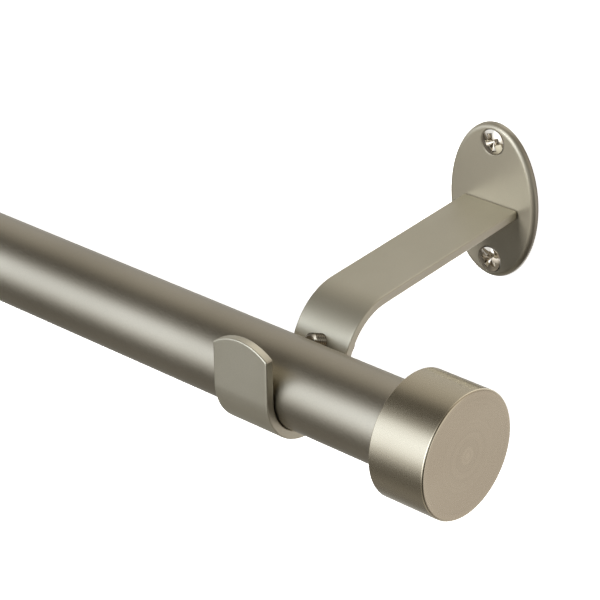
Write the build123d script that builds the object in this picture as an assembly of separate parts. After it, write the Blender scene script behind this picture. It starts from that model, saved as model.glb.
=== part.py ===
from build123d import *
from math import cos, pi, radians, sin, sqrt, tan
import os

# Wall-mounted telescoping curtain rod. Millimetres, +Z up, +X along the rod to the thick tube's
# capped end, +Y into the wall. The origin is the centre of the right wall plate, on the wall.

# Tubes
rod_diameter = 25.4
rod_wall = 0.8
outer_tube_length = 603.0
inner_diameter = 22.2
inner_wall = 0.8
mouth_to_bracket = 25.0
glide_to_plug = 5.25

# End caps, turned drums
cap_diameter = 37.7
cap_length = 18.9
cap_face_round = 0.64
cap_back_chamfer = 0.4
cap_socket_depth = 4.0
cap_socket_clearance = 0.15
bracket_to_cap = 49.25

# Split plastic plug between cap and tube
plug_grip_length = 22.0
plug_clearance = 0.15
plug_wall = 2.6
plug_floor = 4.0
plug_slot_width = 2.0
plug_slot_length = 15.0
plug_stem_diameter = 16.0
plug_stem_length = 7.0
plug_stem_clearance = 0.05

# Plastic bush in the outer tube's mouth and glide on the inner tube's hidden end
bush_lip = 1.2
bush_sleeve_length = 12.0
bush_running_clearance = 0.25
bush_fit_clearance = 0.03
glide_collar_length = 6.0
glide_stem_length = 15.0
glide_running_clearance = 0.25
glide_fit_clearance = 0.05
glide_bore = 12.0

# Bracket arm, one flat bar bent round the rod
strip_width = 20.4
strip_thickness = 2.8
strip_edge_round = 0.45
hook_inner_radius = 14.0
rod_seat_gap = 0.3
rod_front_gap = 0.7
hook_tip_height = 16.5
hook_tip_radius = 16.5
hook_corner_round = 0.6
leg_lean = 24.0
leg_run = 9.5
bend_outer_radius = 20.0
arm_slope = 4.9
rod_projection = 98.1
tenon_width = 12.0
tenon_height = 2.0
tenon_clearance = 0.1
tenon_stand = 0.6

# Oval wall plate
plate_width = 32.9
plate_height = 50.8
plate_thickness = 2.5
plate_edge_round = 1.7
plate_floor = 1.3
plate_rim = 1.8
plate_centre_above_arm = 0.1

# Wall screws, raised countersunk heads with a cross recess
screw_spacing = 39.2
screw_shank_diameter = 4.0
screw_head_diameter = 8.0
screw_head_rise = 0.9
screw_length = 32.0
screw_point_length = 4.0
screw_hole_clearance = 0.2
recess_length = 4.6
recess_slot = 0.95
recess_depth = 1.9

# Thumb screw through the leaning leg
thumb_station = 9.6
thumb_thread_diameter = 4.8
thumb_thread_clearance = 0.05
thumb_tip_chamfer = 1.2
thumb_tip_gap = 0.2
thumb_neck = 2.2
thumb_head_diameter = 8.8
thumb_head_length = 6.5
thumb_head_chamfer = 0.5
thumb_knurl_count = 32
thumb_knurl_depth = 0.32

rod_radius = rod_diameter / 2
inner_radius = inner_diameter / 2
rod_bore_radius = rod_radius - rod_wall
inner_bore_radius = inner_radius - inner_wall
hook_set_back = hook_inner_radius - rod_radius - rod_front_gap
lean_along = Vector(0, sin(radians(leg_lean)), cos(radians(leg_lean)))
thumb_in = Vector(0, -cos(radians(leg_lean)), sin(radians(leg_lean)))
thumb_foot = lean_along * thumb_station - thumb_in * hook_inner_radius


def ring(outer_radius, inner_radius, length):
    """Tube along +X, starting at x = 0."""
    section = Circle(outer_radius) - Circle(inner_radius)
    return extrude(Plane.YZ * section, amount=length)


def rod_bar(radius, length):
    """Round bar along +X, starting at x = 0."""
    return extrude(Plane.YZ * Circle(radius), amount=length)


def rim_at(solid, point):
    """The round edge of a solid that is centred nearest to a point."""
    rims = solid.edges().filter_by(GeomType.CIRCLE)
    return min(rims, key=lambda edge: (edge.arc_center - point).length)


def seat_drop(tube_radius):
    """How far a seated tube's axis lies below the centre of the hook's round."""
    return hook_inner_radius - tube_radius - rod_seat_gap


def bend_start(offset):
    """Where the leg meets the bend, on the face that lies offset behind the rod-side face."""
    radius = hook_inner_radius + offset
    lean = radians(leg_lean)
    return Vector(radius * cos(lean) + leg_run * sin(lean), leg_run * cos(lean) - radius * sin(lean))


def arm_face(offset, end_y):
    """One face of the bent bar in (y, z) about the hook centre, from the tip to the wall plate."""
    radius = hook_inner_radius + offset
    tip = Line((-radius, hook_tip_height + strip_thickness), (-radius, 0))
    hook = CenterArc((0, 0), radius, 180, 180 - leg_lean)
    start = bend_start(offset)
    leg = Line(hook @ 1, start)
    bend = JernArc(start, (sin(radians(leg_lean)), cos(radians(leg_lean))), bend_outer_radius - offset,
                   arm_slope + leg_lean - 90)
    run = bend @ 1
    arm = Line(run, (end_y, run.Y + (end_y - run.X) * tan(radians(arm_slope))))
    return [tip, hook, leg, bend, arm]


plate_front = rod_projection - hook_set_back - plate_thickness
arm_top_height = (arm_face(0, plate_front)[-1] @ 1).Y
arm_bottom_height = (arm_face(strip_thickness, plate_front)[-1] @ 1).Y
plate_rise = arm_top_height + plate_centre_above_arm
hook_centre = Vector(0, hook_set_back - rod_projection, -plate_rise)
tenon_centre = (arm_top_height + arm_bottom_height) / 2 - plate_rise


def is_short(edge):
    """True of edges that only cross the bar's thickness."""
    return edge.geom_type == GeomType.LINE and edge.length < 1.1 * strip_thickness


def is_rim(edge):
    """True of the edges that run along the bar's outline on its two broad faces."""
    seam = edge.geom_type == GeomType.LINE and abs(edge.tangent_at(0.5).X) > 0.99
    return not seam and not is_short(edge)


def bracket_arm():
    """Bent flat bar: extruded side outline, arched tip, rounded edges, thumb-screw hole, tenon."""
    inside = arm_face(0, plate_front)
    outside = arm_face(strip_thickness, plate_front)
    ends = [Line(inside[0] @ 0, outside[0] @ 0), Line(inside[-1] @ 1, outside[-1] @ 1)]
    outline = make_face(Plane.YZ * Curve(inside + outside + ends))
    bar = extrude(outline, amount=strip_width / 2, both=True)
    leg_middle = -hook_inner_radius - strip_thickness / 2
    tip_zone = Pos(0, leg_middle, hook_tip_height) * Box(2 * strip_width, 2 * strip_thickness, hook_tip_height)
    arch = Pos(0, leg_middle, hook_tip_height - hook_tip_radius) * Rot(90, 0, 0) * Cylinder(
        hook_tip_radius, 3 * strip_thickness)
    bar -= tip_zone - arch
    bar = fillet(bar.edges().filter_by(Axis.Y).filter_by(is_short), hook_corner_round)
    bar = fillet(bar.edges().filter_by(is_rim), strip_edge_round)
    bar -= thumb_axis_place(0) * Cylinder(thumb_thread_diameter / 2 + thumb_thread_clearance, 4 * strip_thickness)
    bar = Pos(*hook_centre) * bar
    tenon_length = strip_thickness + plate_floor + tenon_stand
    tenon_middle = tenon_length / 2 - plate_thickness - strip_thickness
    return bar + Pos(0, tenon_middle, tenon_centre) * Box(tenon_width, tenon_length, tenon_height)


def thumb_axis_place(along):
    """Frame on the thumb screw's axis about the hook centre; its z runs towards the rod."""
    return Location(Plane(origin=thumb_foot + thumb_in * along, x_dir=(1, 0, 0), z_dir=thumb_in))


def thumb_reach(tube_radius, rim_radius):
    """How far a round rim of the screw goes in from the leg's face: to the tube, or to over its crown."""
    low_point = thumb_foot - lean_along * rim_radius + Vector(0, hook_set_back, seat_drop(tube_radius))
    along = low_point.dot(thumb_in)
    stop = tube_radius + thumb_tip_gap
    return -along - sqrt(max(0, along ** 2 - low_point.dot(low_point) + stop ** 2))


def thumb_screw(tube_radius):
    """Set screw with a chamfered tip and a straight-knurled head, clamped on the seated tube."""
    thread_radius = thumb_thread_diameter / 2
    flat_tip = thread_radius - thumb_tip_chamfer
    tip = min(thumb_reach(tube_radius, flat_tip), thumb_reach(tube_radius, thread_radius) + thumb_tip_chamfer)
    head_front = -strip_thickness - thumb_neck
    shank = Circle(thread_radius)
    thread = extrude(thumb_axis_place(head_front) * shank, amount=tip - head_front)
    thread = chamfer(rim_at(thread, thumb_axis_place(tip).position), thumb_tip_chamfer)
    crest = thumb_head_diameter / 2
    steps = 2 * thumb_knurl_count
    radii = [crest - thumb_knurl_depth * (step % 2) for step in range(steps)]
    points = [(radii[step] * cos(2 * pi * step / steps), radii[step] * sin(2 * pi * step / steps))
              for step in range(steps)]
    knurled = extrude(Polygon(*points, align=None), amount=-thumb_head_length)
    blank = Pos(0, 0, -thumb_head_length / 2) * Cylinder(crest, thumb_head_length)
    blank = chamfer(blank.edges().filter_by(GeomType.CIRCLE), thumb_head_chamfer)
    head = thumb_axis_place(head_front) * (knurled & blank)
    return Pos(*hook_centre) * (thread + head)


def wall_plate():
    """Pressed oval plate, hollow behind, with a rounded front edge, two countersunk holes and the arm's slot."""
    oval = Plane.XZ * Ellipse(plate_width / 2, plate_height / 2)
    plate = extrude(oval, amount=plate_thickness)
    front_rim = plate.edges().sort_by(Axis.Y)[0]
    plate = fillet(front_rim, plate_edge_round)
    hollow = Plane.XZ * Ellipse(plate_width / 2 - plate_rim, plate_height / 2 - plate_rim)
    plate -= extrude(hollow, amount=plate_thickness - plate_floor)
    hole_radius = screw_shank_diameter / 2 + screw_hole_clearance
    sink_radius = screw_head_diameter / 2 + screw_hole_clearance
    sink_depth = sink_radius - hole_radius
    for side in (-1, 1):
        place = Pos(0, -plate_thickness, side * screw_spacing / 2) * Rot(-90, 0, 0)
        hole = Pos(0, 0, plate_thickness / 2) * Cylinder(hole_radius, 2 * plate_thickness)
        sink = Pos(0, 0, sink_depth / 2) * Cone(sink_radius, hole_radius, sink_depth)
        plate -= place * (hole + sink)
    slot = Box(tenon_width + 2 * tenon_clearance, 4 * plate_thickness, tenon_height + 2 * tenon_clearance)
    return plate - Pos(0, 0, tenon_centre) * slot


def wall_screw(side):
    """Countersunk screw with a raised head, cross recess and plain pointed shank, driven to the plate."""
    head_radius = screw_head_diameter / 2
    shank_radius = screw_shank_diameter / 2
    crown = (0, -screw_head_rise)
    dome = TangentArc(crown, (head_radius, 0), tangent=(1, 0))
    body = Polyline((head_radius, 0), (shank_radius, head_radius - shank_radius),
                    (shank_radius, screw_length - screw_point_length), (0, screw_length), crown)
    screw = revolve(make_face(Curve([dome, body])), Axis.Y)
    for turn in (0, 90):
        slot = Pos(0, recess_depth / 2 - screw_head_rise, 0) * Box(recess_length, recess_depth, recess_slot)
        screw -= Rot(0, turn, 0) * slot
    return Pos(0, -plate_thickness, side * screw_spacing / 2) * screw


def end_cap(tube_radius):
    """Drum cap facing +X with its back at x = 0: a socket for the tube and a pocket for the plug."""
    drum = rod_bar(cap_diameter / 2, cap_length)
    drum = fillet(rim_at(drum, Vector(cap_length, 0, 0)), cap_face_round)
    drum = chamfer(rim_at(drum, Vector(0, 0, 0)), cap_back_chamfer)
    socket = rod_bar(tube_radius + cap_socket_clearance, cap_socket_depth)
    pocket = rod_bar(plug_stem_diameter / 2, cap_socket_depth + plug_stem_length + plug_stem_clearance)
    return drum - socket - pocket


def cap_plug(bore_radius):
    """Split plug about the tube's end at x = 0: grip fingers at -X, stem for the cap at +X."""
    grip_radius = bore_radius - plug_clearance
    plug = Pos(-plug_grip_length, 0, 0) * rod_bar(grip_radius, plug_grip_length)
    plug += rod_bar(plug_stem_diameter / 2 - plug_stem_clearance, plug_stem_length)
    hollow = plug_grip_length - plug_floor
    plug -= Pos(-plug_grip_length, 0, 0) * rod_bar(grip_radius - plug_wall, hollow)
    slot_middle = plug_slot_length / 2 - plug_grip_length
    slot = Box(plug_slot_length, 3 * grip_radius, plug_slot_width)
    return plug - Pos(slot_middle, 0, 0) * (slot + Rot(90, 0, 0) * slot)


def mouth_bush():
    """Lip bush about the outer tube's mouth at x = 0: sleeve inside at +X, lip at -X."""
    bore = inner_radius + bush_running_clearance
    sleeve = ring(rod_bore_radius - bush_fit_clearance, bore, bush_sleeve_length)
    lip = Pos(-bush_lip, 0, 0) * ring(rod_radius, bore, bush_lip)
    return sleeve + lip


def tube_glide():
    """Glide about the inner tube's hidden end at x = 0: stem inside at -X, running collar at +X."""
    collar = rod_bar(rod_bore_radius - glide_running_clearance, glide_collar_length)
    stem = Pos(-glide_stem_length, 0, 0) * rod_bar(inner_bore_radius - glide_fit_clearance, glide_stem_length)
    bore = Pos(-glide_stem_length, 0, 0) * rod_bar(glide_bore / 2, glide_stem_length + glide_collar_length)
    return collar + stem - bore


# Places along the rod, drawn out a little from its shortest, and of the left bracket
rod_axis = hook_centre - Vector(0, hook_set_back, seat_drop(rod_radius))
outer_right_end = bracket_to_cap + cap_socket_depth
outer_left_end = outer_right_end - outer_tube_length
left_bracket_x = outer_left_end - mouth_to_bracket
left_cap_back = left_bracket_x - bracket_to_cap
inner_left_end = left_cap_back - cap_socket_depth
inner_right_end = outer_right_end - plug_grip_length - glide_to_plug - glide_collar_length
inner_tube_length = inner_right_end - inner_left_end
left_bracket_rise = seat_drop(inner_radius) - seat_drop(rod_radius)

on_axis = Pos(*rod_axis)
facing_left = Rot(0, 0, 180)
left_bracket = Pos(left_bracket_x, 0, left_bracket_rise)

nodes = {
    "outer_tube": on_axis * Pos(outer_left_end, 0, 0) * ring(rod_radius, rod_bore_radius, outer_tube_length),
    "outer_tube_mouth_bush": on_axis * Pos(outer_left_end, 0, 0) * mouth_bush(),
    "inner_tube": on_axis * Pos(inner_left_end, 0, 0) * ring(inner_radius, inner_bore_radius, inner_tube_length),
    "inner_tube_glide": on_axis * Pos(inner_right_end, 0, 0) * tube_glide(),
    "right_end_cap": on_axis * Pos(bracket_to_cap, 0, 0) * end_cap(rod_radius),
    "right_cap_plug": on_axis * Pos(outer_right_end, 0, 0) * cap_plug(rod_bore_radius),
    "left_end_cap": on_axis * Pos(left_cap_back, 0, 0) * facing_left * end_cap(inner_radius),
    "left_cap_plug": on_axis * Pos(inner_left_end, 0, 0) * facing_left * cap_plug(inner_bore_radius),
}
for name, place, tube_radius in (("right", Pos(0, 0, 0), rod_radius), ("left", left_bracket, inner_radius)):
    nodes[name + "_bracket_arm"] = place * bracket_arm()
    nodes[name + "_wall_plate"] = place * wall_plate()
    nodes[name + "_wall_screw_upper"] = place * wall_screw(1)
    nodes[name + "_wall_screw_lower"] = place * wall_screw(-1)
    nodes[name + "_set_screw"] = place * thumb_screw(tube_radius)

os.makedirs("parts", exist_ok=True)
for name, solid in nodes.items():
    export_step(solid, "parts/" + name + ".step")
print("rod axis", rod_axis, "left bracket x", left_bracket_x, "rise", left_bracket_rise)
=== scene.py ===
from math import cos, pi, radians, sin, tan

import bmesh
import bpy
import numpy as np
from mathutils import Matrix, Vector


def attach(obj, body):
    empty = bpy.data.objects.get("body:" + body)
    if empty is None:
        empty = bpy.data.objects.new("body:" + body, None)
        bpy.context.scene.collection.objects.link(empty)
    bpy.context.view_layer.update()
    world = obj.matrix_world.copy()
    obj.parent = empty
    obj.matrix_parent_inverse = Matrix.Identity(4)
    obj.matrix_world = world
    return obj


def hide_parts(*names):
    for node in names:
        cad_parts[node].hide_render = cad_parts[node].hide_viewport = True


# Telescoping curtain rod on two wall brackets, dressed in satin nickel.
# Sizes in the dictionaries are millimetres, angles are degrees; toMetres takes them into the frame.

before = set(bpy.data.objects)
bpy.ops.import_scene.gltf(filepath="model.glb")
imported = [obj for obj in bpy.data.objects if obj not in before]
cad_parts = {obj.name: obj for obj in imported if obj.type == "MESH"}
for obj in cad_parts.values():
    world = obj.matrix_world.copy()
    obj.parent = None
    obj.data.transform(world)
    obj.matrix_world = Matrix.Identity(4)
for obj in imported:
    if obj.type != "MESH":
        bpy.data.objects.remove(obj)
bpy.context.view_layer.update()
print("frame loaded")

toMetres = 0.001
sides = ("right", "left")

layout = {
    "rodAxis": (-98.1, -21.1733),       # y, z of both tubes' axis
    "outerTube": (-549.75, 53.25),      # x of its mouth and of its capped end
    "innerTube": (-628.0, 20.0),
    "capBack": {"right": 49.25, "left": -624.0},
    "bracketX": {"right": 0.0, "left": -574.75},
    "bracketRise": {"right": 0.0, "left": 1.6},
    "hookCentre": (-97.5, -20.1733),    # y, z of the hook's round
}


def linear(hexColour):
    # sRGB hex to linear RGBA: c / 12.92 below 0.04045, else ((c + 0.055) / 1.055) ** 2.4
    part = np.array([int(hexColour[i:i + 2], 16) for i in (1, 3, 5)]) / 255
    part = np.where(part <= 0.04045, part / 12.92, ((part + 0.055) / 1.055) ** 2.4)
    return (*part.tolist(), 1.0)


def addNode(tree, kind, settings=None, sockets=None, links=None):
    # one node: its own settings, then its input sockets, then the outputs linked into it
    node = tree.nodes.new(kind)
    for name, value in (settings or {}).items():
        setattr(node, name, value)
    for key, value in (sockets or {}).items():
        node.inputs[key].default_value = value
    for key, output in (links or {}).items():
        tree.links.new(output, node.inputs[key])
    return node


def setRamp(node, stops):
    # colour ramp from (place, linear colour) pairs
    elements = node.color_ramp.elements
    while len(elements) < len(stops):
        elements.new(0.5)
    for element, (place, colour) in zip(elements, stops):
        element.position = place
        element.color = colour


# Materials

def newMaterial(name):
    # an empty node material with its output and its shader
    material = bpy.data.materials.new(name)
    material.use_nodes = True
    tree = material.node_tree
    tree.nodes.clear()
    shader = addNode(tree, "ShaderNodeBsdfPrincipled")
    addNode(tree, "ShaderNodeOutputMaterial", links={"Surface": shader.outputs["BSDF"]})
    return material, tree, shader


def satinNickel(name, look):
    # Nickel plated over a blasted or turned surface: warm grey metal, a wide soft highlight, and a fine
    # grain that breaks the highlight's edge into specks; faint cloudy changes of tone from the plating bath.
    material, tree, shader = newMaterial(name)
    shader.inputs["Metallic"].default_value = look["metallic"]
    place = addNode(tree, "ShaderNodeTexCoord").outputs["Object"]
    grain = addNode(tree, "ShaderNodeTexNoise",
                    sockets={"Scale": 1000 / look["grainSize"], "Detail": 2.0, "Roughness": 0.6},
                    links={"Vector": place})
    cloud = addNode(tree, "ShaderNodeTexNoise",
                    sockets={"Scale": 1000 / look["cloudSize"], "Detail": 3.0, "Roughness": 0.5},
                    links={"Vector": place})
    tone = addNode(tree, "ShaderNodeValToRGB", links={"Fac": cloud.outputs["Fac"]})
    setRamp(tone, [(0.35, linear(look["deepTone"])), (0.65, linear(look["lightTone"]))])
    fleck = addNode(tree, "ShaderNodeMapRange",
                    sockets={"From Min": 0.3, "From Max": 0.7,
                             "To Min": 1 - look["fleck"], "To Max": 1 + look["fleck"]},
                    links={"Value": grain.outputs["Fac"]})
    height, tint = grain.outputs["Fac"], fleck.outputs["Result"]
    if look.get("ringPitch"):
        # turning marks: rings about the piece's axis, spaced by the tool's feed and uneven, strongest near
        # the middle where the tool stopped; each is a shallow step and a slightly lighter or deeper line
        axisY, axisZ = [v * toMetres for v in look["axis"]]
        centred = addNode(tree, "ShaderNodeMapping",
                          sockets={"Location": (0.0, -axisY, -axisZ), "Scale": (0.0, 1.0, 1.0)},
                          links={"Vector": place})
        radius = addNode(tree, "ShaderNodeVectorMath", settings={"operation": "LENGTH"},
                         links={0: centred.outputs["Vector"]})
        rings = addNode(tree, "ShaderNodeTexNoise", settings={"noise_dimensions": "1D"},
                        sockets={"Scale": 1000 / look["ringPitch"], "Detail": 2.0, "Roughness": 0.6},
                        links={"W": radius.outputs["Value"]})
        level = addNode(tree, "ShaderNodeMath", settings={"operation": "SUBTRACT"}, sockets={1: 0.5},
                        links={0: rings.outputs["Fac"]})
        fade = addNode(tree, "ShaderNodeMapRange",
                       sockets={"From Min": 0.0, "From Max": look["ringReach"] * toMetres,
                                "To Min": 1.0, "To Max": 0.15}, links={"Value": radius.outputs["Value"]})
        ring = addNode(tree, "ShaderNodeMath", settings={"operation": "MULTIPLY"},
                       links={0: level.outputs["Value"], 1: fade.outputs["Result"]}).outputs["Value"]
        height = addNode(tree, "ShaderNodeMath", settings={"operation": "MULTIPLY_ADD"},
                         sockets={1: look["ringDepth"]}, links={0: ring, 2: height}).outputs["Value"]
        tint = addNode(tree, "ShaderNodeMath", settings={"operation": "MULTIPLY_ADD"},
                       sockets={1: look["ringTone"]}, links={0: ring, 2: tint}).outputs["Value"]
    colour = addNode(tree, "ShaderNodeMix", settings={"data_type": "RGBA", "blend_type": "MULTIPLY"},
                     sockets={"Factor": 1.0}, links={6: tone.outputs["Color"], 7: tint})
    tree.links.new(colour.outputs[2], shader.inputs["Base Color"])
    gloss = addNode(tree, "ShaderNodeMapRange",
                    sockets={"From Min": 0.3, "From Max": 0.7,
                             "To Min": look["roughness"] - look["roughVary"],
                             "To Max": look["roughness"] + look["roughVary"]},
                    links={"Value": grain.outputs["Fac"]})
    tree.links.new(gloss.outputs["Result"], shader.inputs["Roughness"])
    bump = addNode(tree, "ShaderNodeBump", sockets={"Strength": look["bump"], "Distance": 0.00002},
                   links={"Height": height})
    tree.links.new(bump.outputs["Normal"], shader.inputs["Normal"])
    return material


def mouldedPlastic(name, look):
    # Injection-moulded nylon or acetal: one body colour with a faint mottle, and the soft gloss of a
    # finely eroded mould.
    material, tree, shader = newMaterial(name)
    place = addNode(tree, "ShaderNodeTexCoord").outputs["Object"]
    mottle = addNode(tree, "ShaderNodeTexNoise",
                     sockets={"Scale": 1000 / look["mottleSize"], "Detail": 3.0}, links={"Vector": place})
    tone = addNode(tree, "ShaderNodeValToRGB", links={"Fac": mottle.outputs["Fac"]})
    setRamp(tone, [(0.3, linear(look["deepTone"])), (0.7, linear(look["lightTone"]))])
    tree.links.new(tone.outputs["Color"], shader.inputs["Base Color"])
    spark = addNode(tree, "ShaderNodeTexNoise",
                    sockets={"Scale": 1000 / look["textureSize"], "Detail": 2.0}, links={"Vector": place})
    bump = addNode(tree, "ShaderNodeBump", sockets={"Strength": 0.25, "Distance": 0.00002},
                   links={"Height": spark.outputs["Fac"]})
    tree.links.new(bump.outputs["Normal"], shader.inputs["Normal"])
    shader.inputs["Roughness"].default_value = look["roughness"]
    shader.inputs["IOR"].default_value = look["ior"]
    return material


finishes = {
    # grain of a fine blast is 0.05 mm; it is drawn at 0.3 mm so that it shows in the render
    "satinNickelTube": {
        "metallic": 1.0, "deepTone": "#B5AE9F", "lightTone": "#BBB4A5", "fleck": 0.05,
        "roughness": 0.36, "roughVary": 0.04, "grainSize": 0.35, "cloudSize": 40.0, "bump": 0.3},
    "satinNickelCap": {
        "metallic": 1.0, "deepTone": "#D3C9B4", "lightTone": "#D9D0BB", "fleck": 0.012,
        "roughness": 0.26, "roughVary": 0.02, "grainSize": 0.35, "cloudSize": 30.0, "bump": 0.06,
        "ringPitch": 1.3, "ringDepth": 60.0, "ringTone": 0.75, "ringReach": 8.0, "axis": layout["rodAxis"]},
    # the bracket's clear satin lacquer scatters part of the light, so it is evener in tone than the rod
    "satinNickelBar": {
        "metallic": 0.92, "deepTone": "#CBC6B5", "lightTone": "#D1CCBC", "fleck": 0.03,
        "roughness": 0.41, "roughVary": 0.03, "grainSize": 0.4, "cloudSize": 25.0, "bump": 0.15},
    "satinNickelPlate": {
        "metallic": 0.6, "deepTone": "#B1AB9B", "lightTone": "#B7B1A1", "fleck": 0.02,
        "roughness": 0.32, "roughVary": 0.03, "grainSize": 0.4, "cloudSize": 25.0, "bump": 0.2},
    "satinNickelThumbScrew": {
        "metallic": 1.0, "deepTone": "#A59D8E", "lightTone": "#AFA798", "fleck": 0.04,
        "roughness": 0.17, "roughVary": 0.02, "grainSize": 0.3, "cloudSize": 5.0, "bump": 0.1},
    "brightNickelScrew": {
        "metallic": 1.0, "deepTone": "#C9C0B2", "lightTone": "#D1C9BC", "fleck": 0.02,
        "roughness": 0.07, "roughVary": 0.01, "grainSize": 0.3, "cloudSize": 5.0, "bump": 0.05},
}
metals = {name: satinNickel(name, look) for name, look in finishes.items()}

plastics = {
    "blackMouldedNylon": mouldedPlastic("blackMouldedNylon", {
        "deepTone": "#1C1C1D", "lightTone": "#262627", "mottleSize": 8.0, "textureSize": 0.4,
        "roughness": 0.5, "ior": 1.53}),
    "greyMouldedAcetal": mouldedPlastic("greyMouldedAcetal", {
        "deepTone": "#BDBAB3", "lightTone": "#C8C5BE", "mottleSize": 8.0, "textureSize": 0.4,
        "roughness": 0.42, "ior": 1.48}),
}
print("materials made")


# Meshes as grids of points

def gridFaces(rows, columns, closeRows=False, closeColumns=False):
    # quads of a rows x columns grid of points, joined round where it closes
    r = np.arange(rows if closeRows else rows - 1)
    c = np.arange(columns if closeColumns else columns - 1)
    r, c = [v.ravel() for v in np.meshgrid(r, c, indexing="ij")]
    up, right = (r + 1) % rows, (c + 1) % columns
    return np.stack([r * columns + c, r * columns + right, up * columns + right, up * columns + c], axis=1)


def makePiece(name, patches, body, node, material, sharpAngle=28.0):
    # one mesh object from patches of (points in millimetres, quads): seams welded, faces turned outwards
    pointSets = [np.asarray(points, float).reshape(-1, 3) for points, quads in patches]
    starts = np.cumsum([0] + [len(points) for points in pointSets[:-1]])
    points = np.concatenate(pointSets) * toMetres
    quads = np.concatenate([patch[1] + start for patch, start in zip(patches, starts)])
    mesh = bpy.data.meshes.new(name)
    mesh.from_pydata(points.tolist(), [], quads.tolist())
    work = bmesh.new()
    work.from_mesh(mesh)
    bmesh.ops.remove_doubles(work, verts=work.verts, dist=2e-6)
    bmesh.ops.recalc_face_normals(work, faces=work.faces)
    work.to_mesh(mesh)
    work.free()
    mesh.shade_smooth()
    mesh.set_sharp_from_angle(angle=radians(sharpAngle))
    mesh.materials.append(material)
    piece = bpy.data.objects.new(name, mesh)
    bpy.context.scene.collection.objects.link(piece)
    weigh = piece.modifiers.new("weighted", "WEIGHTED_NORMAL")
    weigh.keep_sharp = True
    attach(piece, body)
    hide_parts(node)
    return piece


def turned(profile, segments, origin, axis=(1.0, 0.0, 0.0), closeProfile=False):
    # (along, radius) rows turned round an axis: p = origin + along * axis
    # + radius * (cos a * e1 + sin a * e2); a row may hold a radius for each of the segments,
    # and along may be a row of its own too
    along, radius = profile
    along, radius = [np.asarray(v, float) for v in (along, radius)]
    along = along[:, None] if along.ndim == 1 else along
    radius = radius[:, None] if radius.ndim == 1 else radius
    axis = np.asarray(axis, float) / np.linalg.norm(axis)
    e1 = np.cross(axis, (0.0, 0.0, 1.0))
    e1 /= np.linalg.norm(e1)
    e2 = np.cross(axis, e1)
    a = np.arange(segments) * 2 * pi / segments
    spoke = np.cos(a)[:, None] * e1 + np.sin(a)[:, None] * e2
    points = np.asarray(origin, float) + along[..., None] * axis + radius[..., None] * spoke[None]
    return points, gridFaces(len(along), segments, closeProfile, True)


def roundedCorner(before, corner, after, radius, steps):
    # the arc that rounds a profile's corner, tangent to both of its sides
    before, corner, after = [np.asarray(v, float) for v in (before, corner, after)]
    u = (before - corner) / np.linalg.norm(before - corner)
    v = (after - corner) / np.linalg.norm(after - corner)
    half = np.arccos(np.clip(u @ v, -1, 1)) / 2
    middle = corner + (u + v) / np.linalg.norm(u + v) * radius / sin(half)
    start = corner + u * radius / tan(half) - middle
    end = corner + v * radius / tan(half) - middle
    turn = np.linspace(0, 1, steps + 1)[:, None]
    spread = pi - 2 * half
    return middle + (np.sin((1 - turn) * spread) * start + np.sin(turn * spread) * end) / sin(spread)


def softProfile(corners, steps=5):
    # a profile through (along, radius, rounding) corners; a rounding of 0 keeps the corner sharp
    count = len(corners)
    places = [corner[:2] for corner in corners]
    parts = [roundedCorner(places[i - 1], places[i], places[(i + 1) % count], corners[i][2], steps)
             if corners[i][2] > 0 else np.array([places[i]], float) for i in range(count)]
    return np.concatenate(parts).T


# Tubes, their bush and their glide

tubes = {
    "outerRadius": 12.7,
    "innerRadius": 11.1,
    "wall": 0.8,
    "endRound": 0.2,
    "segments": 160,
}
bush = {
    "lip": 1.2,
    "sleeve": 12.0,
    "bore": 11.35,
    "sleeveRadius": 11.87,
    "lipRound": 0.25,
    "edgeRound": 0.15,
}
glide = {
    "collar": 6.0,
    "stem": 15.0,
    "bore": 6.0,
    "collarRadius": 11.65,
    "stemRadius": 10.25,
    "round": 0.5,
    "stemRound": 0.3,
    "edgeRound": 0.2,
}


def tubePatch(radius, ends):
    # ring section turned round the rod's axis, its four corners softened
    bore, r = radius - tubes["wall"], tubes["endRound"]
    corners = [(ends[0], bore, r), (ends[0], radius, r), (ends[1], radius, r), (ends[1], bore, r)]
    return turned(softProfile(corners, 3), tubes["segments"], (0.0, *layout["rodAxis"]), closeProfile=True)


makePiece("outerTubeDrawn", [tubePatch(tubes["outerRadius"], layout["outerTube"])], "fixed_side",
          "outer_tube", metals["satinNickelTube"])
makePiece("innerTubeDrawn", [tubePatch(tubes["innerRadius"], layout["innerTube"])], "sliding_side",
          "inner_tube", metals["satinNickelTube"])

mouth, hiddenEnd = layout["outerTube"][0], layout["innerTube"][1]
bushFront, bushEnd = mouth - bush["lip"], mouth + bush["sleeve"]
bushCorners = [
    (bushFront, bush["bore"], bush["edgeRound"]), (bushFront, tubes["outerRadius"], bush["lipRound"]),
    (mouth, tubes["outerRadius"], 0), (mouth, bush["sleeveRadius"], 0),
    (bushEnd, bush["sleeveRadius"], bush["edgeRound"]), (bushEnd, bush["bore"], bush["edgeRound"]),
]
makePiece("outerTubeMouthBushMoulded",
          [turned(softProfile(bushCorners, 3), 96, (0.0, *layout["rodAxis"]), closeProfile=True)],
          "fixed_side", "outer_tube_mouth_bush", plastics["greyMouldedAcetal"])
stemEnd, collarEnd = hiddenEnd - glide["stem"], hiddenEnd + glide["collar"]
glideCorners = [
    (stemEnd, glide["bore"], glide["edgeRound"]), (stemEnd, glide["stemRadius"], glide["stemRound"]),
    (hiddenEnd, glide["stemRadius"], 0), (hiddenEnd, glide["collarRadius"], glide["edgeRound"]),
    (collarEnd, glide["collarRadius"], glide["round"]), (collarEnd, glide["bore"], glide["round"]),
]
makePiece("innerTubeGlideMoulded",
          [turned(softProfile(glideCorners, 3), 96, (0.0, *layout["rodAxis"]), closeProfile=True)],
          "sliding_side", "inner_tube_glide", plastics["blackMouldedNylon"])
print("tubes made")


# End caps

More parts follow.
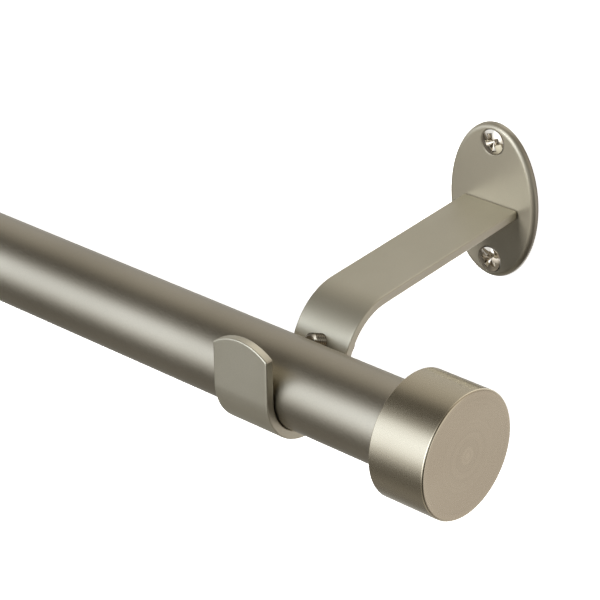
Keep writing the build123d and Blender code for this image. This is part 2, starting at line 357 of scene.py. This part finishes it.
caps = {
    "radius": 18.85,
    "length": 18.9,
    "faceRound": 0.64,
    "backRound": 0.4,
    "socketRound": 0.15,
    "faceStations": (6.0, 12.0),        # radii where the flat face is divided
    "socketDepth": 4.0,
    "socketClearance": 0.15,
    "pocketRadius": 8.0,
    "pocketDepth": 11.05,
    "segments": 192,
}


def capPatch(tubeRadius, back, way):
    # drum turned from the middle of its face round to the bottom of the plug's pocket
    socket = tubeRadius + caps["socketClearance"]
    corners = [(caps["length"], 0, 0), *[(caps["length"], station, 0) for station in caps["faceStations"]],
               (caps["length"], caps["radius"], caps["faceRound"]),
               (0, caps["radius"], caps["backRound"]), (0, socket, caps["socketRound"]),
               (caps["socketDepth"], socket, 0), (caps["socketDepth"], caps["pocketRadius"], 0),
               (caps["pocketDepth"], caps["pocketRadius"], 0), (caps["pocketDepth"], 0, 0)]
    along, radius = softProfile(corners, 7)
    return turned((back + way * along, radius), caps["segments"], (0.0, *layout["rodAxis"]))


for side, tubeRadius, way in (("right", tubes["outerRadius"], 1), ("left", tubes["innerRadius"], -1)):
    makePiece(side + "EndCapTurned", [capPatch(tubeRadius, layout["capBack"][side], way)], side + "_cap",
              side + "_end_cap", metals["satinNickelCap"])
    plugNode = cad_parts[side + "_cap_plug"]
    plugNode.data.materials.clear()
    plugNode.data.materials.append(plastics["blackMouldedNylon"])
print("end caps made")


# Bracket arms, a flat bar bent round the rod

arm = {
    "width": 20.4,
    "thickness": 2.8,
    "edgeRound": 0.45,
    "hookRadius": 14.0,
    "tipHeight": 16.5,
    "tipRadius": 16.5,
    "cornerRound": 0.6,
    "lean": 24.0,
    "legRun": 9.5,
    "bendRadius": 20.0,
    "slope": 4.9,
    "reach": 95.0,           # from the hook's centre to the plate's front
    "holeRadius": 2.45,
    "holeStation": 9.6,
    "holePatch": 4.0,
    "tipZone": 8.0,          # the rows bend into the arch over this length
    "tenon": (12.0, 1.9, 2.0),          # width, length and height
    "gridStations": (6.0, 8.0, 9.2),    # from the middle line, outside the square round the hole
    "jointSlot": 0.45,       # the dark line round the arm where it meets the plate
}


def barPath(s):
    # the rod-side face by its length s from the top of the tip: straight down, round the hook,
    # up the leaning leg, over the bend, and straight to the wall; gives (y, z) and the heading's angle
    lean, slope, r = radians(arm["lean"]), radians(arm["slope"]), arm["hookRadius"]
    lengths = [arm["tipHeight"], r * (pi - lean), arm["legRun"], arm["bendRadius"] * (pi / 2 - lean - slope)]
    a, b, c, d = np.cumsum(lengths)
    legStart = np.array([r * cos(lean), -r * sin(lean)])
    bendStart = legStart + arm["legRun"] * np.array([sin(lean), cos(lean)])
    bendMiddle = bendStart + arm["bendRadius"] * np.array([cos(lean), -sin(lean)])
    turn = (s - a) / r
    over = (s - c) / arm["bendRadius"]
    atBend = pi - lean - over                  # the angle from the bend's middle out to the face
    runStart = bendMiddle + arm["bendRadius"] * np.array([-sin(slope), cos(slope)])
    heading = np.select([s < a, s < b, s < c, s < d],
                        [-pi / 2 + 0 * s, turn - pi / 2, pi / 2 - lean + 0 * s, pi / 2 - lean - over], slope)
    y = np.select([s < a, s < b, s < c, s < d],
                  [-r + 0 * s, -r * np.cos(turn), legStart[0] + (s - b) * sin(lean),
                   bendMiddle[0] + arm["bendRadius"] * np.cos(atBend)], runStart[0] + (s - d) * cos(slope))
    z = np.select([s < a, s < b, s < c, s < d],
                  [arm["tipHeight"] - s, -r * np.sin(turn), legStart[1] + (s - b) * cos(lean),
                   bendMiddle[1] + arm["bendRadius"] * np.sin(atBend)], runStart[1] + (s - d) * sin(slope))
    return y, z, heading, (a, b, c, d), runStart


def ontoBar(x, s, n):
    # a point of the flat blank, n deep from the rod-side face, carried onto the bent bar
    y, z, heading = barPath(s)[:3]
    return np.stack([x, y + n * np.sin(heading), z - n * np.cos(heading)], axis=-1)


def tipOutline(x):
    # the tip's outline at x in the flat blank, and the direction from it into the bar:
    # an arch about the blank's middle line, with a small round into each side
    r, big = arm["cornerRound"], arm["tipRadius"]
    middleX = arm["width"] / 2 - r
    middleS = big - np.sqrt((big - r) ** 2 - middleX ** 2)
    onArch = np.abs(x) < middleX * big / (big - r)
    archS = big - np.sqrt(big ** 2 - x ** 2)
    cornerS = middleS - np.sqrt(np.clip(r ** 2 - (np.abs(x) - middleX) ** 2, 0, None))
    s = np.where(onArch, archS, cornerS)
    inX = np.where(onArch, -x / big, (np.sign(x) * middleX - x) / r)
    inS = np.where(onArch, (big - s) / big, (middleS - s) / r)
    return s, inX, inS


def barPatches():
    # the blank's rounded section carried along the bar; the first rows close the arched tip, the last one
    # lies on the plate; a ring of quads round the thumb screw's hole stands in for a square of the grid
    half, t, r = arm["width"] / 2, arm["thickness"], arm["edgeRound"]
    marks, runStart = barPath(np.zeros(1))[3:]
    a, b, d = marks[0], marks[1], marks[3]
    end = d + (arm["reach"] - runStart[0]) / cos(radians(arm["slope"]))
    hole, patch = b + arm["holeStation"], arm["holePatch"]
    inner = np.linspace(-patch, patch, 9)
    stations = np.array(arm["gridStations"])
    flat = np.concatenate([[-half + r], -stations[::-1], inner, stations, [half - r]])
    bend, bendFull = np.linspace(0, pi / 2, 5)[1:], np.linspace(0, pi / 2, 5)
    # once round the section: across the rod-side face, down one edge, back and up the other
    ringX = np.concatenate([flat, half - r + r * np.sin(bend), half - r + r * np.cos(bendFull),
                            flat[::-1][1:], -half + r - r * np.sin(bend),
                            -half + r - r * np.cos(bendFull[:-1])])
    ringN = np.concatenate([0 * flat, r - r * np.cos(bend), t - r + r * np.sin(bendFull),
                            t + 0 * flat[1:], t - r + r * np.cos(bend), r - r * np.sin(bendFull[:-1])])
    s = np.concatenate([
        np.linspace(0, arm["tipZone"], 9)[1:], np.linspace(arm["tipZone"], a, 3)[1:],
        np.linspace(a, b, 49)[1:], np.linspace(b, hole - patch, 4)[1:], hole + inner[1:],
        np.linspace(hole + patch, d, 25)[1:], np.linspace(d, end, 20)[1:], [end, end]])
    outlineS, inX, inS = tipOutline(ringX)
    share = np.clip(1 - s / arm["tipZone"], 0, 1)[:, None]
    ringS = s[:, None] + share * outlineS
    ringS[-3:] -= ringN * tan(radians(arm["slope"]))
    ringS[-3:-1] -= arm["jointSlot"]
    # the tip's own rows: the outline draws in by the edge round as it reaches the faces
    turn = np.linspace(0, pi / 2, 6)[:, None]
    inset = np.minimum(r - r * np.cos(turn), np.clip(half - np.abs(ringX), 0, r))
    depth = r - np.sqrt(np.clip(r ** 2 - (r - inset) ** 2, 0, None))
    x = np.concatenate([ringX + inset * inX, ringX + 0 * ringS])
    x[-2:] *= 1 - arm["jointSlot"] / half
    ringS = np.concatenate([outlineS + inset * inS, ringS])
    n = np.concatenate([np.where(ringN < t / 2, depth, t - depth), ringN + 0 * share])
    n[-2:] += (t / 2 - n[-2:]) * 2 * arm["jointSlot"] / t
    points = ontoBar(x, ringS, n)
    faces = gridFaces(*x.shape, closeColumns=True)
    # leave out the square round the hole on both faces
    faceX, faceS = x.ravel()[faces].mean(1), ringS.ravel()[faces].mean(1)
    inSquare = (np.abs(faceX) < patch) & (np.abs(faceS - hole) < patch)
    patches = [(points, faces[~inSquare])]
    side = inner[:-1]
    borderX = np.concatenate([side, patch + 0 * side, -side, -patch + 0 * side])
    borderS = np.concatenate([-patch + 0 * side, side, patch + 0 * side, -side])
    around = np.arctan2(borderS, borderX)
    blend = np.linspace(0, 1, 5)[:, None]
    rims = []
    for deep in (0.0, t):
        widen = np.where(np.sin(around) > 0, arm["bendRadius"] / (arm["bendRadius"] - deep), 1.0)
        circleX = arm["holeRadius"] * np.cos(around)
        circleS = arm["holeRadius"] * np.sin(around) * widen
        discX = circleX + (borderX - circleX) * blend
        disc = ontoBar(discX, hole + circleS + (borderS - circleS) * blend, deep + 0 * discX)
        patches.append((disc, gridFaces(*discX.shape, closeColumns=True)))
        rims.append(disc[0])
    patches.append((np.stack(rims), gridFaces(2, len(around), closeColumns=True)))
    # close both ends with strips between the two faces
    w, k = len(flat), len(bend)
    upper = np.concatenate([np.arange(2 * w + 3 * k, 2 * w + 4 * k), np.arange(w + k)])
    lower = np.arange(2 * w + 3 * k - 1, w + k - 1, -1)
    for row in (0, len(x) - 1):
        patches.append((np.stack([points[row, upper], points[row, lower]]), gridFaces(2, len(upper))))
    endMiddle = points[-1].mean(0)
    wide, long, tall = arm["tenon"]
    patches.append(boxPatch(endMiddle + np.array([-wide / 2, 0, -tall / 2]),
                            endMiddle + np.array([wide / 2, long, tall / 2])))
    return patches


def boxPatch(low, high):
    # plain box: corner (i, j, k) takes each coordinate from low or high
    pick = np.array([[i, j, k] for i in (0, 1) for j in (0, 1) for k in (0, 1)])
    points = np.where(pick, high, low)
    quads = np.array([[0, 1, 3, 2], [4, 6, 7, 5], [0, 4, 5, 1], [2, 3, 7, 6], [0, 2, 6, 4], [1, 5, 7, 3]])
    return points, quads


def moved(patches, shift):
    # the same patches, shifted
    return [(points + np.asarray(shift, float), quads) for points, quads in patches]


barBlank = barPatches()
bracketBody = {"right": "fixed_side", "left": "sliding_side"}
for side in sides:
    hookPlace = (layout["bracketX"][side], layout["hookCentre"][0],
                 layout["hookCentre"][1] + layout["bracketRise"][side])
    makePiece(side + "BracketArmBent", moved(barBlank, hookPlace), bracketBody[side],
              side + "_bracket_arm", metals["satinNickelBar"])
print("bracket arms made")


# Wall plates

plate = {
    "halfWidth": 16.45,
    "halfHeight": 25.4,
    "thickness": 2.5,
    "edgeRound": 1.7,
    "backRound": 0.25,
    "floor": 1.3,
    "rim": 1.8,
    "screwHeight": 19.6,
    "sinkRadius": 4.5,
    "sinkBack": 3.0,
    "rays": 192,
}


def ovalInset(t, inset):
    # the oval's point at angle t, moved inwards along the oval's normal
    a, b = plate["halfWidth"], plate["halfHeight"]
    normal = np.stack([b * np.cos(t), a * np.sin(t)], axis=-1)
    normal /= np.linalg.norm(normal, axis=-1, keepdims=True)
    return np.stack([a * np.cos(t), b * np.sin(t)], axis=-1) - inset * normal


def platePatches():
    # upper half: rays from the screw hole's middle out to the oval's inner border or to the middle line;
    # lower half: its mirror image; rim: the oval's border carried round its section by inset and height
    rays = []
    centre = np.array([0.0, plate["screwHeight"]])
    upperCount = plate["rays"] * 3 // 4
    middleCount = plate["rays"] - upperCount
    tStations = np.linspace(0, pi, upperCount + 1)
    lineX = np.linspace(-1, 1, middleCount + 1)[1:-1]
    patches = []
    front = (-plate["thickness"], plate["edgeRound"], plate["sinkRadius"])
    back = (plate["floor"] - plate["thickness"], plate["rim"], plate["sinkBack"])
    for deep, borderInset, holeRadius in (front, back):
        arc = ovalInset(tStations, borderInset)
        line = np.stack([lineX * arc[0, 0], 0 * lineX], axis=-1)
        border = np.concatenate([arc, line])
        toBorder = border - centre
        spoke = toBorder / np.linalg.norm(toBorder, axis=1, keepdims=True)
        circle = centre + holeRadius * spoke
        blend = np.linspace(0, 1, 7)[:, None, None]
        flatXZ = circle + (border - circle) * blend
        for mirror in (1, -1):
            points = np.stack([flatXZ[..., 0], deep + 0 * flatXZ[..., 0], mirror * flatXZ[..., 1]], axis=-1)
            patches.append((points, gridFaces(*points.shape[:2], closeColumns=True)))
            rays.append(points[0])
    for frontRim, backRim in ((rays[0], rays[2]), (rays[1], rays[3])):
        patches.append((np.stack([frontRim, backRim]), gridFaces(2, len(frontRim), closeColumns=True)))
    # the rim's section from the front border over the rounded edge to the hollow's border
    turn = np.linspace(pi / 2, 0, 9)
    r, thick, small, wide = plate["edgeRound"], plate["thickness"], plate["backRound"], plate["rim"]
    inset = np.concatenate([r - r * np.cos(turn), [0, small, wide - small, wide, wide]])
    height = np.concatenate([r - r * np.sin(turn) - thick, [-small, 0, 0, -small, plate["floor"] - thick]])
    around = np.concatenate([tStations, -tStations[1:-1][::-1]])
    rim = ovalInset(around[None].repeat(len(inset), 0), inset[:, None, None])
    points = np.stack([rim[..., 0], height[:, None] + 0 * rim[..., 0], rim[..., 1]], axis=-1)
    patches.append((points, gridFaces(*points.shape[:2], closeColumns=True)))
    return patches


plateBlank = platePatches()
for side in sides:
    platePlace = (layout["bracketX"][side], 0.0, layout["bracketRise"][side])
    makePiece(side + "WallPlatePressed", moved(plateBlank, platePlace), bracketBody[side],
              side + "_wall_plate", metals["satinNickelPlate"])
print("wall plates made")


# Wall screws, raised countersunk heads with a cross recess

wallScrew = {
    "headRadius": 4.0,
    "headRise": 0.9,
    "length": 32.0,
    "pointLength": 6.0,
    "threadRadius": 2.0,
    "rootRadius": 1.45,
    "threadPitch": 1.8,
    "recessLength": 5.8,
    "recessWidth": 1.9,
    "recessDepth": 1.9,
    "wallSlope": 2.4,
    "floorReach": 1.25,      # the recess floor rises to nothing at this share of the cross's arm,
    "floorLeast": 0.25,      # but keeps this share of the full depth
    "ridgeHalf": 0.32,       # half the thread ridge's width, as a share of the pitch
    "threadStart": 6.0,      # how far down the shank the thread begins,
    "threadFade": 3.0,       # and over what length it reaches its full height
    "plainShare": 0.7,       # how far the plain shank stands between root and crest
    "segments": 192,
    "rings": 71,
    "turn": {"upper": 20.0, "lower": 65.0},      # how far each is screwed home
}


def wallScrewPatch(turn):
    # head: dome height less the recess, whose walls fall steeply from a cross outline to a floor that is
    # deepest in the middle; shank: the thread's ridge as radius over (angle, length)
    head, rise = wallScrew["headRadius"], wallScrew["headRise"]
    angle = np.arange(wallScrew["segments"]) * 2 * pi / wallScrew["segments"]
    domeRadius = (head ** 2 + rise ** 2) / (2 * rise)
    r = np.linspace(0, head, wallScrew["rings"])[:, None] + 0 * angle
    dome = rise - domeRadius + np.sqrt(domeRadius ** 2 - r ** 2)
    u, v = r * np.cos(angle + turn), r * np.sin(angle + turn)
    halfLong, halfWide = wallScrew["recessLength"] / 2, wallScrew["recessWidth"] / 2
    taper = np.clip(1 - r / (halfLong * wallScrew["floorReach"]), wallScrew["floorLeast"], 1)
    crossing = np.minimum(np.maximum(np.abs(u) - halfLong, np.abs(v) - halfWide),
                          np.maximum(np.abs(v) - halfLong, np.abs(u) - halfWide))
    floor = wallScrew["recessDepth"] * taper
    recess = np.clip(-crossing * wallScrew["wallSlope"], 0, floor)
    headRadius, headAlong = r, -(dome - recess)
    edge, root, tall = wallScrew["threadRadius"], wallScrew["rootRadius"], wallScrew["length"]
    tip = tall - wallScrew["pointLength"]
    along = np.arange(head - edge + 0.2, tall, wallScrew["threadPitch"] / 8)
    phase = np.mod(along[:, None] / wallScrew["threadPitch"] - angle / (2 * pi), 1.0)
    ridge = np.clip(1 - np.abs(phase - 0.5) / wallScrew["ridgeHalf"], 0, 1)
    fade = np.clip((along - wallScrew["threadStart"]) / wallScrew["threadFade"], 0, 1)[:, None]
    cone = np.clip((tall - along) / (tall - tip), 0.0, 1)[:, None]
    shankRadius = cone * (root + (edge - root) * (ridge * fade + (1 - fade) * wallScrew["plainShare"]))
    radius = np.concatenate([headRadius, edge + 0 * headRadius[:1], shankRadius, 0 * shankRadius[:1]])
    lengths = np.concatenate([headAlong, head - edge + 0 * headRadius[:1],
                              along[:, None] + 0 * shankRadius, tall + 0 * shankRadius[:1]])
    return turned((lengths, radius), wallScrew["segments"], (0.0, -plate["thickness"], 0.0),
                  axis=(0.0, 1.0, 0.0))


for side in sides:
    for end, way in (("upper", 1), ("lower", -1)):
        place = (layout["bracketX"][side], 0.0, layout["bracketRise"][side] + way * plate["screwHeight"])
        screw = wallScrewPatch(radians(wallScrew["turn"][end]))
        makePiece(side + "WallScrew" + end.capitalize(), moved([screw], place), bracketBody[side],
                  side + "_wall_screw_" + end, metals["brightNickelScrew"],
                  sharpAngle=32.0)
print("wall screws made")


# Thumb screws through the leaning legs

thumb = {
    "threadRadius": 2.4,
    "rootRadius": 1.75,
    "threadPitch": 1.06,
    "tip": {"right": 5.4775, "left": 9.0984},
    "tipFlat": 1.4,
    "neckStart": -5.0,
    "headRadius": 4.4,
    "headLength": 6.5,
    "headChamfer": 0.5,
    "knurlCount": 32,
    "knurlDepth": 0.32,
    "ridgeTop": 1.12,        # the thread's crest before it is cut flat at 1,
    "ridgeFall": 2.6,        # and how steeply its flanks fall over the pitch
    "segments": 256,
}


def thumbScrewPatch(side):
    # from the back of the head to the tip: the knurl is a triangle wave round the head, the thread a ridge
    # that climbs one pitch a turn; both draw in where the head and the tip are chamfered
    angle = np.arange(thumb["segments"]) * 2 * pi / thumb["segments"]
    back, front = thumb["neckStart"] - thumb["headLength"], thumb["neckStart"]
    wave = np.abs(np.mod(angle * thumb["knurlCount"] / (2 * pi), 1.0) - 0.5) * 2
    bevel = thumb["headChamfer"]
    headAlong = np.array([back, back, back + bevel, front - bevel, front, front])[:, None]
    plain = thumb["headRadius"] - bevel
    knurled = thumb["headRadius"] - thumb["knurlDepth"] * wave
    headRadius = np.stack([0 * angle, plain + 0 * angle, knurled, knurled, plain + 0 * angle,
                           thumb["rootRadius"] + 0 * angle])
    tip = thumb["tip"][side]
    along = np.arange(front + 0.05, tip - 0.02, thumb["threadPitch"] / 10)
    phase = np.mod(along[:, None] / thumb["threadPitch"] - angle / (2 * pi), 1.0)
    ridge = np.clip(thumb["ridgeTop"] - np.abs(phase - 0.5) * thumb["ridgeFall"], 0, 1)
    drawIn = np.clip((tip - along) + thumb["tipFlat"], 0, thumb["threadRadius"])[:, None]
    depth = (thumb["threadRadius"] - thumb["rootRadius"]) * (1 - ridge)
    shank = np.minimum(thumb["threadRadius"], drawIn) - depth
    radius = np.concatenate([headRadius, shank, 0 * angle[None] + thumb["tipFlat"], 0 * angle[None]])
    lengths = np.concatenate([headAlong + 0 * headRadius, along[:, None] + 0 * shank,
                              tip + 0 * angle[None], tip + 0 * angle[None]])
    lean, hook = radians(arm["lean"]), arm["hookRadius"]
    foot = np.array([0.0, sin(lean) * arm["holeStation"] + cos(lean) * hook,
                     cos(lean) * arm["holeStation"] - sin(lean) * hook])
    return turned((lengths, radius), thumb["segments"], foot, axis=(0.0, -cos(lean), sin(lean)))


for side in sides:
    hookPlace = (layout["bracketX"][side], layout["hookCentre"][0],
                 layout["hookCentre"][1] + layout["bracketRise"][side])
    makePiece(side + "SetScrewKnurled", moved([thumbScrewPatch(side)], hookPlace), side + "_thumb_screw",
              side + "_set_screw", metals["satinNickelThumbScrew"],
              sharpAngle=24.0)
print("thumb screws made")


# Floor, light and camera

studio = {
    "floorHeight": -0.55,
    "size": 14.0,
    "paintColour": "#F4F3F1",
    "paintRoughness": 0.9,
    "paintGlow": 1.0,
    "wallPlace": 0.0004,
    "backgroundColour": "#FFFFFF",
}
softBox = {
    "elevation": 24.0,
    "distance": 1.2,
    "aside": -0.27,
    "width": 0.45,
    "depth": 0.35,
    "power": 19.0,
    "colour": "#FFFCF6",
}
# light from each direction round the rod's axis, in degrees up from straight in front: over the top,
# down behind and back beneath; (angle, brightness, warmth from 0 cool to 1 warm)
lightRound = [(-180, 0.50, 0.3), (-160, 0.58, 0.2), (-134, 0.76, 0.2), (-118, 0.40, 0.3), (-100, 0.20, 0.7),
              (-75, 0.23, 0.8), (-50, 0.12, 0.9), (-32, 0.14, 0.9), (-15, 0.62, 0.3), (0, 1.25, -0.2),
              (20, 1.42, -0.4), (37, 1.15, -0.2), (50, 0.36, 0.5), (66, 0.10, 1.0), (86, 0.09, 1.0),
              (106, 0.40, 0.8), (130, 0.56, 0.6), (155, 0.58, 0.5), (180, 0.50, 0.3)]
# and the share of it that is left along the rod's direction, from left (-1) to right (1), on the room's
# side and on the wall's side: (place, share of red, green and blue)
lightAside = {
    "room": [(-1.0, (0.9, 0.9, 0.9)), (-0.5, (0.9, 0.9, 0.9)), (-0.25, (2.2, 2.2, 2.2)),
             (0.05, (2.2, 2.2, 2.2)), (0.3, (0.6, 0.58, 0.52)), (0.5, (0.25, 0.24, 0.22)),
             (1.0, (0.2, 0.19, 0.17))],
    "wall": [(-1.0, (0.9, 0.9, 0.9)), (-0.5, (0.9, 0.9, 0.9)), (-0.25, (2.2, 2.2, 2.2)),
             (0.05, (2.2, 2.2, 2.2)), (0.3, (0.82, 0.77, 0.73)), (0.64, (0.82, 0.74, 0.71)),
             (0.8, (1.5, 1.44, 1.38)), (1.0, (1.9, 1.84, 1.78))],
}

# matt emulsion, plain and pale, clear on its far side
paint, tree, shader = newMaterial("whiteMattPaint")
shader.inputs["Base Color"].default_value = linear(studio["paintColour"])
shader.inputs["Roughness"].default_value = studio["paintRoughness"]
shader.inputs["Emission Color"].default_value = (1.0, 1.0, 1.0, 1.0)
shader.inputs["Emission Strength"].default_value = studio["paintGlow"]
farSide = addNode(tree, "ShaderNodeNewGeometry").outputs["Backfacing"]
clear = addNode(tree, "ShaderNodeBsdfTransparent")
oneSided = addNode(tree, "ShaderNodeMixShader", links={0: farSide, 1: shader.outputs["BSDF"],
                                                       2: clear.outputs["BSDF"]})
tree.links.new(oneSided.outputs["Shader"], tree.nodes["Material Output"].inputs["Surface"])


def addBackdrop(name, corners):
    # a plain sheet that only the camera sees, so that it stays out of the metal's reflections
    mesh = bpy.data.meshes.new(name)
    mesh.from_pydata(corners, [], [(0, 1, 2, 3)])
    mesh.materials.append(paint)
    sheet = bpy.data.objects.new(name, mesh)
    bpy.context.scene.collection.objects.link(sheet)
    for ray in ("glossy", "diffuse", "shadow", "transmission"):
        setattr(sheet, "visible_" + ray, False)


# the floor, and the wall that the screws go into
reach, low, wallY = studio["size"] / 2, studio["floorHeight"], studio["wallPlace"]
addBackdrop("studioFloor",
            [(-reach, -reach, low), (reach, -reach, low), (reach, reach, low), (-reach, reach, low)])
addBackdrop("studioWall",
            [(-reach, wallY, low), (reach, wallY, low), (reach, wallY, reach), (-reach, wallY, reach)])

# a soft box above and in front, for the matt share of the light; the metal's reflections leave it out
boxData = bpy.data.lights.new("softBox", "AREA")
boxData.shape, boxData.size, boxData.size_y = "RECTANGLE", softBox["width"], softBox["depth"]
boxData.energy, boxData.color = softBox["power"], linear(softBox["colour"])[:3]
box = bpy.data.objects.new("softBox", boxData)
bpy.context.scene.collection.objects.link(box)
tilt = radians(softBox["elevation"])
toBox = Vector((0.0, -cos(tilt), sin(tilt)))
box.matrix_world = (Matrix.Translation(toBox * softBox["distance"] + Vector((softBox["aside"], 0.0, 0.0)))
                    @ toBox.to_track_quat("Z", "Y").to_matrix().to_4x4())
box.visible_glossy = False
box.visible_camera = False

world = bpy.data.worlds.new("softStudio")
bpy.context.scene.world = world
world.use_nodes = True
world.cycles_visibility.diffuse = False      # the matt share is lit by the soft box alone, for its shadow
tree = world.node_tree
tree.nodes.clear()
direction = addNode(tree, "ShaderNodeTexCoord").outputs["Generated"]
part = addNode(tree, "ShaderNodeSeparateXYZ", links={"Vector": direction})
ahead = addNode(tree, "ShaderNodeMath", settings={"operation": "MULTIPLY"}, sockets={1: -1.0},
                links={0: part.outputs["Y"]})
angle = addNode(tree, "ShaderNodeMath", settings={"operation": "ARCTAN2"},
                links={0: part.outputs["Z"], 1: ahead.outputs["Value"]})
share = addNode(tree, "ShaderNodeMapRange", sockets={"From Min": -pi, "From Max": pi},
                links={"Value": angle.outputs["Value"]})
glow = addNode(tree, "ShaderNodeValToRGB", links={"Fac": share.outputs["Result"]})
cool, warm = np.array([1.0, 1.03, 1.06]), np.array([1.0, 0.91, 0.76])
setRamp(glow, [((a + 180) / 360, (*(level * (cool + (warm - cool) * warmth)), 1.0))
               for a, level, warmth in lightRound])
aside = addNode(tree, "ShaderNodeMapRange", sockets={"From Min": -1.0, "From Max": 1.0},
                links={"Value": part.outputs["X"]})
dims = {}
for way, stops in lightAside.items():
    dims[way] = addNode(tree, "ShaderNodeValToRGB", links={"Fac": aside.outputs["Result"]})
    setRamp(dims[way], [((a + 1) / 2, (*tint, 1.0)) for a, tint in stops])
facing = addNode(tree, "ShaderNodeMapRange", sockets={"From Min": 0.25, "From Max": -0.25},
                 links={"Value": part.outputs["Y"]})
dim = addNode(tree, "ShaderNodeMix", settings={"data_type": "RGBA"},
              links={0: facing.outputs["Result"], 6: dims["wall"].outputs["Color"],
                     7: dims["room"].outputs["Color"]})
shaded = addNode(tree, "ShaderNodeMix", settings={"data_type": "RGBA", "blend_type": "MULTIPLY"},
                 sockets={"Factor": 1.0}, links={6: glow.outputs["Color"], 7: dim.outputs[2]})
seen = addNode(tree, "ShaderNodeLightPath")
lit = addNode(tree, "ShaderNodeBackground", sockets={"Strength": 1.0}, links={"Color": shaded.outputs[2]})
plain = addNode(tree, "ShaderNodeBackground",
                sockets={"Color": linear(studio["backgroundColour"]), "Strength": 1.0})
either = addNode(tree, "ShaderNodeMixShader",
                 links={0: seen.outputs["Is Camera Ray"], 1: lit.outputs["Background"],
                        2: plain.outputs["Background"]})
addNode(tree, "ShaderNodeOutputWorld", links={"Surface": either.outputs["Shader"]})
print("floor and light set")

view = {
    "position": (0.41873, -0.54501, 0.31245),
    "azimuth": 42.569,       # degrees round from the wall's own normal
    "elevation": 26.826,
    "roll": -0.752,
    "lens": 147.59,
    "sensor": 36.0,
}
cameraData = bpy.data.cameras.new("photoCamera")
camera = bpy.data.objects.new("photoCamera", cameraData)
bpy.context.scene.collection.objects.link(camera)
cameraData.sensor_width = view["sensor"]
cameraData.lens = view["lens"]
cameraData.clip_start, cameraData.clip_end = 0.01, 100.0
camera.matrix_world = (Matrix.Translation(Vector(view["position"]))
                       @ Matrix.Rotation(radians(view["azimuth"]), 4, "Z")
                       @ Matrix.Rotation(radians(90 - view["elevation"]), 4, "X")
                       @ Matrix.Rotation(radians(view["roll"]), 4, "Z"))
bpy.context.scene.camera = camera
bpy.context.scene.view_settings.view_transform = "Standard"
print("camera set")
